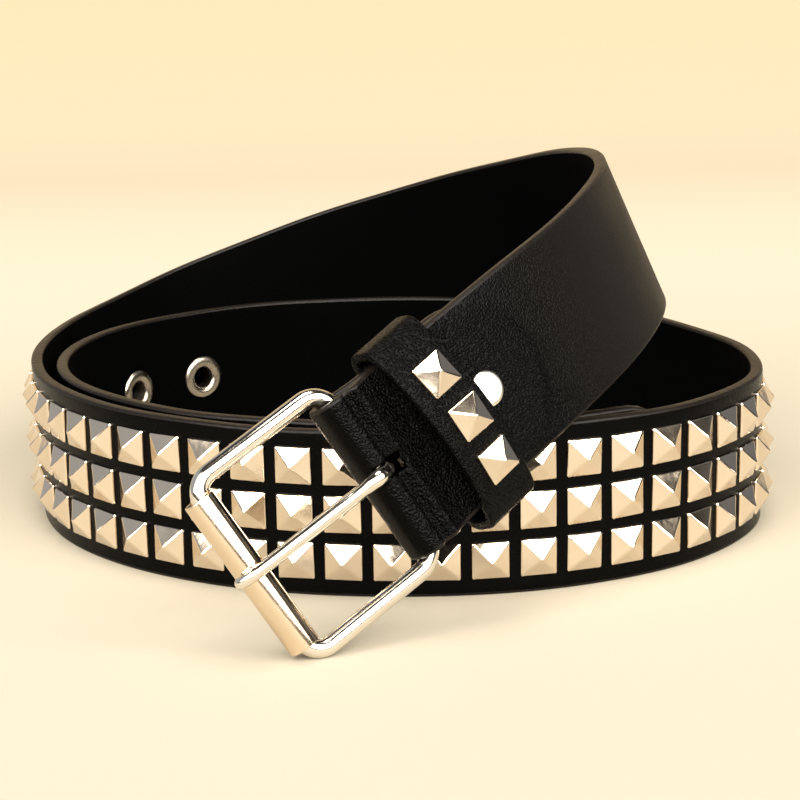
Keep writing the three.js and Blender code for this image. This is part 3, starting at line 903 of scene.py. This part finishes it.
@dataclass
class PlacedCopies:
    """Copies of one small piece at places on the belt, by Geometry Nodes."""

    rows: int = 1
    row_pitch: float = 11.0
    lift: float = 1.5
    tilt_degrees: float = 0.0
    seed: int = 7

    def tree(self) -> bpy.types.NodeTree:
        """Builds the tree: points are repeated across the strap, lifted, and each takes a turned copy.

        Returns:
            The tree.
        """
        tree = bpy.data.node_groups.new("copies_on_strap", "GeometryNodeTree")
        socket = tree.interface.new_socket
        socket("Points", in_out="INPUT", socket_type="NodeSocketGeometry")
        for name, kind in (
            ("Piece", "NodeSocketObject"), ("Metal", "NodeSocketMaterial"), ("Rows", "NodeSocketInt"),
            ("Row pitch", "NodeSocketFloat"), ("Lift", "NodeSocketFloat"), ("Tilt", "NodeSocketFloat"),
            ("Seed", "NodeSocketInt"),
        ):
            socket(name, in_out="INPUT", socket_type=kind)
        socket("Copies", in_out="OUTPUT", socket_type="NodeSocketGeometry")
        given = add_node(tree, "NodeGroupInput").outputs
        repeated = add_node(
            tree, "GeometryNodeDuplicateElements", {"domain": "POINT"},
            Geometry=given["Points"], Amount=given["Rows"],
        )
        middle = add_node(tree, "ShaderNodeMath", {"operation": "SUBTRACT"}, i0=given["Rows"], i1=1.0)
        half = add_node(tree, "ShaderNodeMath", {"operation": "MULTIPLY"}, i0=middle.outputs[0], i1=0.5)
        row = add_node(
            tree, "ShaderNodeMath", {"operation": "SUBTRACT"},
            i0=repeated.outputs["Duplicate Index"], i1=half.outputs[0],
        )
        off = add_node(
            tree, "ShaderNodeMath", {"operation": "MULTIPLY"}, i0=row.outputs[0], i1=given["Row pitch"],
        )

        def named(name: str) -> bpy.types.NodeSocket:
            """Reads a vector that is stored on the points.

            Args:
                name: Its name.
            Returns:
                Its socket.
            """
            kind = {"data_type": "FLOAT_VECTOR"}
            return add_node(tree, "GeometryNodeInputNamedAttribute", kind, Name=name).outputs[0]

        sideways = add_node(tree, "ShaderNodeVectorMath", {"operation": "SCALE"}, i0=named("across"))
        tree.links.new(off.outputs[0], sideways.inputs["Scale"])
        lifted = add_node(tree, "ShaderNodeVectorMath", {"operation": "SCALE"}, i0=named("outward"))
        tree.links.new(given["Lift"], lifted.inputs["Scale"])
        offset = add_node(
            tree, "ShaderNodeVectorMath", {"operation": "ADD"},
            i0=sideways.outputs[0], i1=lifted.outputs[0],
        )
        seats = add_node(
            tree, "GeometryNodeSetPosition", Geometry=repeated.outputs["Geometry"],
            Offset=offset.outputs[0],
        )
        least = add_node(tree, "ShaderNodeMath", {"operation": "MULTIPLY"}, i0=given["Tilt"], i1=-1.0)
        tilt = add_node(
            tree, "FunctionNodeRandomValue", {"data_type": "FLOAT_VECTOR"}, Seed=given["Seed"],
        )
        tree.links.new(least.outputs[0], tilt.inputs[0])
        tree.links.new(given["Tilt"], tilt.inputs[1])
        seated = add_node(tree, "FunctionNodeEulerToRotation", Euler=named("turn"))
        loose = add_node(tree, "FunctionNodeEulerToRotation", Euler=tilt.outputs[0])
        rotation = add_node(
            tree, "FunctionNodeRotateRotation", {"rotation_space": "LOCAL"},
            Rotation=seated.outputs[0], Rotate_By=loose.outputs[0],
        )
        piece = add_node(tree, "GeometryNodeObjectInfo", Object=given["Piece"])
        copies = add_node(
            tree, "GeometryNodeInstanceOnPoints", Points=seats.outputs[0],
            Instance=piece.outputs["Geometry"], Rotation=rotation.outputs[0],
        )
        real = add_node(tree, "GeometryNodeRealizeInstances", Geometry=copies.outputs[0])
        dressed = add_node(
            tree, "GeometryNodeSetMaterial", Geometry=real.outputs[0], Material=given["Metal"],
        )
        add_node(tree, "NodeGroupOutput", Copies=dressed.outputs[0])
        return tree

    def build(
        self, name: str, places: Sequence[Place], shift: np.ndarray, piece: bpy.types.Object,
        metal: bpy.types.Material,
    ) -> bpy.types.Object:
        """Puts a copy of the piece at each place.

        Args:
            name: Name of the result.
            places: Where the middle row's copies go, before the lift.
            shift: From the path's frame to the part's frame.
            piece: The piece to copy, which is removed afterwards.
            metal: Its material.
        Returns:
            The result as a plain mesh object.
        """
        mesh = bpy.data.meshes.new(name)
        mesh.from_pydata([((p.point + shift) * MM).tolist() for p in places], [], [])
        turns = [
            Matrix(np.column_stack([p.along, p.outward, p.across]).tolist()).to_euler("XYZ")
            for p in places
        ]
        for label, rows in (
            ("turn", turns), ("across", [p.across for p in places]),
            ("outward", [p.outward for p in places]),
        ):
            layer = mesh.attributes.new(label, "FLOAT_VECTOR", "POINT")
            layer.data.foreach_set("vector", np.array([list(r) for r in rows], np.float32).ravel())
        made = bpy.data.objects.new(name, mesh)
        bpy.context.scene.collection.objects.link(made)
        tree = self.tree()
        values = {
            "Piece": piece, "Metal": metal, "Rows": self.rows, "Row pitch": self.row_pitch * MM,
            "Lift": self.lift * MM, "Tilt": math.radians(self.tilt_degrees), "Seed": self.seed,
        }
        copies = made.modifiers.new("copies", "NODES")
        copies.node_group = tree
        for item in tree.interface.items_tree:
            if item.in_out == "INPUT" and item.name in values:
                copies[item.identifier] = values[item.name]
        apply_modifiers(made)
        bpy.data.node_groups.remove(tree)
        bpy.data.objects.remove(piece)
        return made


@dataclass
class StudField:
    """Three rows of pyramid studs on the strap."""

    path: StrapPath
    shift: np.ndarray
    columns: int = 48
    pitch: float = 10.84
    from_tip: float = 282.0

    def build(self, metal: bpy.types.Material) -> bpy.types.Object:
        """Builds all the studs as one mesh.

        Args:
            metal: Their material.
        Returns:
            The studs.
        """
        places = [self.path.at(self.from_tip + i * self.pitch) for i in range(self.columns)]
        copies = PlacedCopies(rows=3, row_pitch=11.0, lift=self.path.thickness / 2, tilt_degrees=1.3)
        return copies.build("studs", places, self.shift, PyramidStud().build("stud_pattern"), metal)


@dataclass
class Eyelets:
    """Rolled eyelets of the tail, with a flange on each face."""

    path: StrapPath
    shift: np.ndarray
    hole: float = 6.0
    barrel: float = 7.6
    flange: float = 12.2
    lip: float = 0.8
    face_gap: float = 0.25
    at: tuple[float, ...] = EYELETS_AT

    def build(self, metal: bpy.types.Material) -> bpy.types.Object:
        """Builds the eyelets as one mesh.

        Args:
            metal: Their material.
        Returns:
            The eyelets.
        """
        face = self.path.thickness / 2 + self.face_gap
        hole, barrel, flange = self.hole / 2, self.barrel / 2, self.flange / 2
        middle, half = (hole + flange) / 2, (flange - hole) / 2
        front = [
            (middle + half * math.cos(a), face + 1.25 * self.lip * math.sin(a))
            for a in np.linspace(0, math.pi, 11)
        ]
        back = [(r, -h) for r, h in reversed(front)]
        profile = [(barrel, face)] + front + back + [(barrel, -face)]
        points, faces = turned(profile, 40)
        piece = new_object("eyelet_pattern", points, faces, [])
        copies = PlacedCopies(lift=0.0, tilt_degrees=1.0)
        return copies.build("eyelets", [self.path.at(d) for d in self.at], self.shift, piece, metal)


@dataclass
class Keeper:
    """The leather loop behind the buckle, with its three studs."""

    path: StrapPath
    fold: Fold
    shift: np.ndarray
    from_bar: float = 17.8
    width: float = 14.0
    wall: float = 2.2
    rise: float = 4.6
    edge_rise: float = 0.6
    side_gap: float = 2.1
    drop: float = 0.7
    skew: float = math.radians(2.5)
    back_gap: float = 0.6
    stud_size: float = 7.95
    stud_pitch: float = 11.3
    stud_lag: float = 0.8
    edge_round: float = 0.55
    bend_room: float = 0.6
    span_steps: int = 6

    def __post_init__(self) -> None:
        """Works out the loop's place and the radius of its arch."""
        seat = self.path.at(self.path.length - self.from_bar)
        cos, sin = math.cos(self.skew), math.sin(self.skew)
        # Turning by the skew round outward takes along towards the reverse of across
        along = cos * seat.along + sin * np.cross(seat.outward, seat.along)
        across = cos * seat.across + sin * np.cross(seat.outward, seat.across)
        self.place = Place(seat.point - self.drop * seat.across, along, across, seat.outward)
        half_strap, sag = self.path.width / 2, self.rise - self.edge_rise
        self.half = half_strap + self.side_gap + self.wall / 2
        self.crown = self.path.thickness / 2 + self.rise + self.wall / 2
        self.arch = (half_strap**2 + sag**2) / (2 * sag) + self.wall / 2

    def outline(self) -> np.ndarray:
        """Middle line of the loop, closed and smooth.

        Returns:
            Its points as across and outward sizes.
        """
        # The loop's corners are shares of this bend, as in the part
        bend = self.wall + self.bend_room
        back = -(self.fold.closed_spacing + self.path.thickness / 2 + self.back_gap + self.wall / 2)
        end = math.asin((self.half - 0.5 * bend) / self.arch)
        half = [
            (self.arch * math.sin(s * end), self.crown - self.arch * (1 - math.cos(s * end)))
            for s in np.linspace(0, 1, 7)
        ]
        u, n = half[-1]
        half += [(u + 0.75 * (self.half - u), n - 0.35 * bend), (self.half, n - bend)]
        half += [(self.half, back + 0.9 * bend), (self.half - 0.3 * bend, back + 0.3 * bend)]
        half += [(self.half - 0.9 * bend, back), (self.half / 2, back), (0.0, back)]
        mirrored = [(-u, n) for u, n in reversed(half[1:-1])]
        corners = [np.array(c) for c in half + mirrored]
        loop = []
        for i, here in enumerate(corners):
            span = [corners[i - 1], here, *(corners[(i + k) % len(corners)] for k in (1, 2))]
            for w in np.linspace(0, 1, self.span_steps + 1)[:-1]:
                loop.append(StrapPath.curve(span, np.array([(1 + w) / 3]), True)[0])
        return np.array(loop)

    def build(self, leather: bpy.types.Material) -> bpy.types.Object:
        """Builds the band, whose long edges are rounded over.

        Args:
            leather: Its material.
        Returns:
            The band.
        """
        line = self.outline()
        tangent = unit(np.roll(line, -1, axis=0) - np.roll(line, 1, axis=0))
        side = np.column_stack([-tangent[:, 1], tangent[:, 0]])
        w, t, r = self.width / 2, self.wall / 2, self.edge_round
        corner = []
        for sx, st, start in ((1, 1, 0), (-1, 1, 90), (-1, -1, 180), (1, -1, 270)):
            for a in (0, 30, 60, 90):
                angle = math.radians(start + a)
                corner.append((sx * (w - r) + r * math.cos(angle), st * (t - r) + r * math.sin(angle)))
            if sx == st:
                corner += [(sx * (w - r) * (1 - 2 * k / 6), st * t) for k in range(1, 6)]
        rings = []
        for (u, n), (su, sn) in zip(line, side):
            rings += [self.place.local(x, n + thick * sn, u + thick * su) for x, thick in corner]
        faces, _ = ring_faces(len(line), len(corner), True)
        return new_object("keeper_band", np.array(rings) + self.shift, faces, [leather])

    def studs(self, metal: bpy.types.Material) -> bpy.types.Object:
        """Builds the keeper's studs, which follow its arch.

        Args:
            metal: Their material.
        Returns:
            The studs.
        """
        outside = self.arch + self.wall / 2
        centre = self.place.local(-self.stud_lag, self.crown - self.arch, 0)
        places = []
        for i in (-1, 0, 1):
            turn = i * self.stud_pitch / outside
            outward = math.cos(turn) * self.place.outward + math.sin(turn) * self.place.across
            across = -np.cross(outward, self.place.along)
            places.append(Place(centre + outside * outward, self.place.along, across, outward))
        copies = PlacedCopies(lift=0.3, tilt_degrees=1.6, seed=4)
        stud = PyramidStud(size=self.stud_size, sunk=0.6).build("keeper_stud_pattern")
        return copies.build("keeper_studs", places, self.shift, stud, metal)


@dataclass
class Rivet:
    """The domed rivet that closes the fold."""

    path: StrapPath
    fold: Fold
    shift: np.ndarray
    from_bar: float = 29.0
    cap: float = 8.0
    foot: float = 7.0
    shank: float = 2.8
    dome: float = 1.3
    foot_depth: float = 0.8

    def build(self, metal: bpy.types.Material) -> bpy.types.Object:
        """Builds the rivet as a turned piece through both layers.

        Args:
            metal: Its material.
        Returns:
            The rivet.
        """
        front = self.path.thickness / 2 + self.fold.touch_gap + 0.25
        back = -self.fold.closed_spacing - self.path.thickness / 2 - self.fold.touch_gap
        cap, foot, shank = self.cap / 2, self.foot / 2, self.shank / 2
        rim = self.dome - 0.45
        dome = [
            (cap - rim * (1 - math.cos(a)), front + 0.3 + (rim - 0.3) * math.sin(a))
            for a in np.linspace(0, math.pi / 2, 7)
        ]
        dome += [(0.55 * cap, front + rim + 0.1)]
        deep, ease = self.foot_depth, self.foot_depth / 2
        profile = [(0, back - deep), (foot - ease, back - deep), (foot, back - ease), (foot, back)]
        profile += [(shank, back), (shank, front), (cap, front)] + dome + [(0, front + rim + 0.16)]
        points, faces = turned(profile, 48)
        place = self.path.at(self.path.length - self.from_bar)
        basis = np.column_stack([place.along, place.outward, place.across])
        moved = points @ basis.T + place.point + self.shift
        return new_object("rivet_cap", moved, faces, [metal])


@dataclass
class Buckle:
    """Buckle frame, roller and prong about the bar: X to the roller, Y outward, Z across."""

    path: StrapPath
    fold: Fold
    bar: np.ndarray
    roller_at: np.ndarray
    axis: np.ndarray
    corner: float = 5.0
    side_gap: float = 0.75
    sits_low: float = 0.45
    roller_width: float = 7.0
    roller_wall: float = 0.75
    roller_end_gap: float = 1.1
    prong_root: float = 3.3
    prong_tip: float = 2.8
    eye_wall: float = 1.6
    prong_start: float = 1.5
    eye_turn: float = math.radians(235)

    def __post_init__(self) -> None:
        """Works out the buckle's directions from the two joints."""
        reach = self.roller_at - self.bar
        self.reach = float(np.linalg.norm(reach))
        x = reach / self.reach
        y = np.cross(self.axis, x)
        self.basis = np.column_stack([x, y, self.axis])
        self.half = self.path.width / 2 + self.side_gap + self.fold.wire / 2

    def placed(self, points: np.ndarray) -> np.ndarray:
        """Moves points from the buckle's own frame to the part's frame.

        Args:
            points: A row for each.
        Returns:
            The moved points.
        """
        return np.asarray(points) @ self.basis.T + self.bar

    def frame(self, metal: bpy.types.Material) -> bpy.types.Object:
        """Builds the bent wire frame.

        Args:
            metal: Its material.
        Returns:
            The frame.
        """
        corners = [
            (self.reach, self.half, 0), (0, self.half, 90),
            (0, -self.half, 180), (self.reach, -self.half, 270),
        ]
        rings, sides, radius = [], 28, self.fold.wire / 2
        for x, z, start in corners:
            cx = x - math.copysign(self.corner, x - self.reach / 2)
            cz = z - math.copysign(self.corner, z)
            for i in range(13):
                angle = math.radians(start + 90 * i / 12)
                out = np.array([math.cos(angle), 0, math.sin(angle)])
                point = np.array([cx, 0, cz - self.sits_low]) + self.corner * out
                for k in range(sides):
                    a = 2 * math.pi * k / sides
                    rings.append(point + radius * (math.cos(a) * out + math.sin(a) * np.array([0, 1, 0])))
        faces, _ = ring_faces(len(corners) * 13, sides, True)
        return new_object("buckle_wire", self.placed(np.array(rings)), faces, [metal])

    def roller(self, metal: bpy.types.Material) -> bpy.types.Object:
        """Builds the rolled sheet tube with its open seam.

        Args:
            metal: Its material.
        Returns:
            The tube.
        """
        outer = self.roller_width / 2
        inner = outer - self.roller_wall
        half = self.half - self.fold.wire / 2 - self.roller_end_gap
        seam, gap, steps, lip = math.radians(150), math.radians(5), 56, 0.15
        angles = np.linspace(seam + gap / 2, seam + 2 * math.pi - gap / 2, steps)
        # Rings run round the tube, each a small section of the sheet with eased ends
        section = [
            (outer - lip, -half), (outer, -half + lip), (outer, half - lip), (outer - lip, half),
            (inner, half), (inner, -half),
        ]
        rings = []
        for a in angles:
            for r, z in section:
                rings.append([self.reach + r * math.cos(a), r * math.sin(a), z - self.sits_low])
        faces, _ = ring_faces(steps, len(section), False)
        made = new_object("roller_tube", self.placed(np.array(rings)), faces, [metal])
        edges = made.modifiers.new("ease", "BEVEL")
        edges.width, edges.segments, edges.limit_method = 0.1 * MM, 2, "ANGLE"
        apply_modifiers(made)
        return made

    def prong(self, metal: bpy.types.Material) -> bpy.types.Object:
        """Builds the prong: a flattened eye round the bar, a straight and a tip over the roller.

        Args:
            metal: Its material.
        Returns:
            The prong.
        """
        eye = self.fold.wire / 2 + self.fold.touch_gap + self.eye_wall / 2
        tip_over = self.roller_width / 2 + self.fold.touch_gap + self.prong_tip / 2
        root, tip = self.prong_root / 2, self.prong_tip / 2
        # The straight starts above the eye, where the wire is round again
        start_x = self.prong_start
        start_y = self.fold.wire / 2 + self.fold.touch_gap + 1.15 * self.prong_root
        tilt = math.atan2(tip_over - start_y, self.reach - start_x)
        stations = []
        for i in range(25):
            angle = math.pi / 2 + self.eye_turn * (1 - i / 24)
            lift = float(smoothstep((i - 18) / 6))
            radius = eye + lift * 0.5 * (start_y - eye)
            thick = self.eye_wall / 2 + 0.5 * lift * (root - self.eye_wall / 2)
            stations.append((radius * math.cos(angle), radius * math.sin(angle), thick, root))
        length = self.reach - start_x
        # Share of the straight, rise off it, then thickness and width as shares of the root's
        for share, up, thick, wide in (
            (0.0, 0.1, 1.14, 1.12), (0.05, 0.2, 1.2, 1.16), (0.11, 0.05, 1.06, 1.04), (0.17, 0.0, 0.9, 0.9),
            (0.24, 0.0, 0.93, 0.94), (0.34, 0.0, 0.95, 0.96),
            (0.5, 0.0, 0.93, 0.94), (0.66, 0.0, 0.9, 0.91),
            (0.8, 0.0, 0.88, 0.89), (0.9, 0.0, 0.87, 0.88),
        ):
            x = start_x + share * length
            y = start_y + math.tan(tilt) * share * length + up
            stations.append((x, y, root * thick, root * wide))
        for degrees in (90, 78, 66, 54, 44, 36):
            angle = math.radians(degrees)
            ease = 1 - 0.12 * (90 - degrees) / 54
            stations.append((
                self.reach + tip_over * math.cos(angle), tip_over * math.sin(angle), tip * ease, tip * ease,
            ))
        line = np.array([(x, y) for x, y, _, _ in stations])
        tangent = unit(np.gradient(line, axis=0))
        # One more, smaller ring eases the tip's end
        end_x, end_y = line[-1] + 0.35 * tangent[-1]
        stations.append((end_x, end_y, 0.75 * stations[-1][2], 0.75 * stations[-1][3]))
        sides, rings = 24, []
        for (x, y, thick, wide), (tx, ty) in zip(stations, [*tangent, tangent[-1]]):
            for k in range(sides):
                a = 2 * math.pi * k / sides
                up = thick * math.cos(a)
                rings.append([x - ty * up, y + tx * up, wide * math.sin(a)])
        faces, _ = ring_faces(len(stations), sides, False)
        return new_object("prong_wire", self.placed(np.array(rings)), faces, [metal])


@dataclass
class Studio:
    """Pale sweep, soft lights and the camera, placed from the coil's own frame."""

    shift: np.ndarray
    camera_at: tuple[float, float, float] = (2.9, -530.91, 150.68)
    look_at: tuple[float, float, float] = (2.9, 16.8, 22.336)
    roll: float = 0.0218
    focal_pixels: float = 2101.82
    frame_pixels: float = 800.0
    sensor: float = 36.0
    # Bearings and their softness in degrees, heights and their softness as sines, colour, strength
    panels: tuple[tuple, ...] = (
        (-400, 400, 1, -2, 2, 1, "#3a3733", 1.0),
        (-62, 70, 6, 0.19, 0.81, 0.02, "#fffaf2", 12.0),
        (-400, 400, 1, 0.978, 2, 0.01, "#fffaf2", 12.0),
        (-178, -80, 16, 0.05, 0.7, 0.1, "#c0c6ce", 0.75),
        (110, 178, 16, 0.05, 0.7, 0.1, "#9ca3ad", 0.45),
    )

    def sweep(self) -> bpy.types.Object:
        """Builds the floor that curves up into a background.

        Returns:
            The sweep.
        """
        front, back, radius, height, width = -1500.0, 700.0, 500.0, 1500.0, 800.0
        profile = [(front, 0.0), (back, 0.0)]
        for degrees in range(5, 91, 5):
            a = math.radians(degrees)
            profile.append((back + radius * math.sin(a), radius * (1 - math.cos(a))))
        profile.append((back + radius, height))
        points = [(x, y, z) for y, z in profile for x in (-width, width)]
        faces = [[2 * i, 2 * i + 1, 2 * i + 3, 2 * i + 2] for i in range(len(profile) - 1)]
        made = new_object("sweep", np.array(points), faces, [self.paper()])
        return made

    def paper(self) -> bpy.types.Material:
        """Cream background paper, matt.

        Returns:
            The material.
        """
        made = bpy.data.materials.new("cream_background_paper")
        made.use_nodes = True
        tree = made.node_tree
        shader = tree.nodes["Principled BSDF"]
        place = add_node(tree, "ShaderNodeTexCoord").outputs["Object"]
        # The paper is paler in front and yellower towards the back
        far = add_node(tree, "ShaderNodeSeparateXYZ", Vector=place)
        share = add_node(
            tree, "ShaderNodeMapRange", {"interpolation_type": "SMOOTHSTEP"}, Value=far.outputs["Y"],
            From_Min=0.3, From_Max=1.2,
        )
        tone = add_node(tree, "ShaderNodeMix", {"data_type": "RGBA"}, i0=share.outputs[0])
        tone.inputs[6].default_value = srgb("#90897a")
        tone.inputs[7].default_value = srgb("#776952")
        tree.links.new(tone.outputs[2], shader.inputs["Base Color"])
        shader.inputs["Roughness"].default_value = 0.75
        shader.inputs["Specular IOR Level"].default_value = 0.25
        return made

    def world(self) -> None:
        """Lights the scene by direction: a soft box in front, a small one overhead, grey walls beside."""
        world = bpy.data.worlds.new("studio")
        bpy.context.scene.world = world
        world.use_nodes = True
        tree = world.node_tree
        tree.nodes.clear()
        way = add_node(tree, "ShaderNodeTexCoord").outputs["Generated"]
        parts = add_node(tree, "ShaderNodeSeparateXYZ", Vector=way).outputs
        ahead = add_node(tree, "ShaderNodeMath", {"operation": "MULTIPLY"}, i0=parts["Y"], i1=-1.0)
        # Bearing from the front in degrees, to the right positive, and height as a sine
        turn = add_node(
            tree, "ShaderNodeMath", {"operation": "ARCTAN2"}, i0=parts["X"], i1=ahead.outputs[0],
        )
        bearing = add_node(tree, "ShaderNodeMath", {"operation": "DEGREES"}, i0=turn.outputs[0]).outputs[0]
        height = parts["Z"]
        glow = None
        for low, high, soft, bottom, top, fade, colour, strength in self.panels:
            # A panel's light is the product of its four soft edges and its strength
            share = strength
            for value, outside, inside in (
                (bearing, low - soft, low), (bearing, high + soft, high),
                (height, bottom - fade, bottom), (height, top + fade, top),
            ):
                edge = add_node(
                    tree, "ShaderNodeMapRange", {"interpolation_type": "SMOOTHSTEP"}, Value=value,
                    From_Min=outside, From_Max=inside,
                )
                share = add_node(
                    tree, "ShaderNodeMath", {"operation": "MULTIPLY"}, i0=edge.outputs[0], i1=share,
                ).outputs[0]
            panel = add_node(tree, "ShaderNodeVectorMath", {"operation": "SCALE"})
            panel.inputs[0].default_value = srgb(colour)[:3]
            tree.links.new(share, panel.inputs["Scale"])
            if glow is None:
                glow = panel.outputs[0]
            else:
                glow = add_node(
                    tree, "ShaderNodeVectorMath", {"operation": "ADD"}, i0=glow, i1=panel.outputs[0],
                ).outputs[0]
        shine = add_node(tree, "ShaderNodeBackground", Color=glow, Strength=1.0)
        add_node(tree, "ShaderNodeOutputWorld", Surface=shine.outputs[0])

    def camera(self) -> None:
        """Adds the camera at the photograph's place."""
        data = bpy.data.cameras.new("camera")
        data.sensor_width = self.sensor
        data.lens = self.focal_pixels * self.sensor / self.frame_pixels
        data.clip_start, data.clip_end = 0.01, 20
        made = bpy.data.objects.new("camera", data)
        at, aim = Vector(self.camera_at), Vector(self.look_at)
        back = (at - aim).normalized()
        right = Vector((0, 0, 1)).cross(back).normalized()
        up = back.cross(right)
        cos, sin = math.cos(self.roll), math.sin(self.roll)
        turn = Matrix((cos * right - sin * up, sin * right + cos * up, back)).transposed()
        made.matrix_world = Matrix.Translation((at + Vector(self.shift)) * MM) @ turn.to_4x4()
        bpy.context.scene.collection.objects.link(made)
        bpy.context.scene.camera = made

    def build(self) -> None:
        """Builds the whole studio."""
        self.sweep()
        self.world()
        self.camera()
        bpy.context.scene.view_settings.view_transform = "Standard"


def attach(made: bpy.types.Object, body: Body, nodes: Sequence[str]) -> None:
    """Lets a finished piece ride on its body in place of its nodes.

    Args:
        made: The piece.
        body: Body that it rides on.
        nodes: Nodes that it replaces.
    """
    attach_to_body(made, body.value)
    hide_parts(*nodes)
    LOG.info("%s: %d faces, on %s", made.name, len(made.data.polygons), body.value)


def main() -> None:
    """Builds the belt's pieces in order, then the studio."""
    logging.basicConfig(level=logging.INFO)
    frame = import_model()
    joints = {joint["name"]: joint for joint in frame["joints"]}
    bar_at = np.array(joints["frame_swing"]["pos_m"]) / MM
    path = StrapPath()
    fold = Fold(path)
    shift = bar_at - fold.bar.point

    leather = [STRAP_LEATHER.material(), EDGE_PAINT.material(), BONDED_BACK.material()]
    strap = Strap(path, fold, shift).build(leather)
    attach(strap, Body.BELT, ["studded_strap"])
    studs = StudField(path, shift).build(STUD_NICKEL.material())
    attach(studs, Body.BELT, ["studded_strap"])
    eyelets = Eyelets(path, shift).build(EYELET_NICKEL.material())
    attach(eyelets, Body.BELT, [f"eyelet_{i}" for i in range(1, 8)])
    keeper = Keeper(path, fold, shift)
    attach(keeper.build(KEEPER_LEATHER.material()), Body.BELT, ["keeper"])
    keeper_nodes = [f"keeper_stud_{i}" for i in range(1, 4)]
    attach(keeper.studs(STUD_NICKEL.material()), Body.BELT, keeper_nodes)
    rivet = Rivet(path, fold, shift)
    attach(rivet.build(RIVET_NICKEL.material()), Body.BELT, ["rivet"])
    roller_at = np.array(joints["roller_spin"]["pos_m"]) / MM
    buckle = Buckle(path, fold, bar_at, roller_at, unit(np.array(joints["frame_swing"]["axis"])))
    attach(buckle.frame(WIRE_NICKEL.material()), Body.FRAME, ["buckle_frame"])
    attach(buckle.roller(SHEET_NICKEL.material()), Body.ROLLER, ["roller"])
    attach(buckle.prong(WIRE_NICKEL.material()), Body.PRONG, ["prong"])
    Studio(shift).build()


if __name__ == "__main__":
    main()
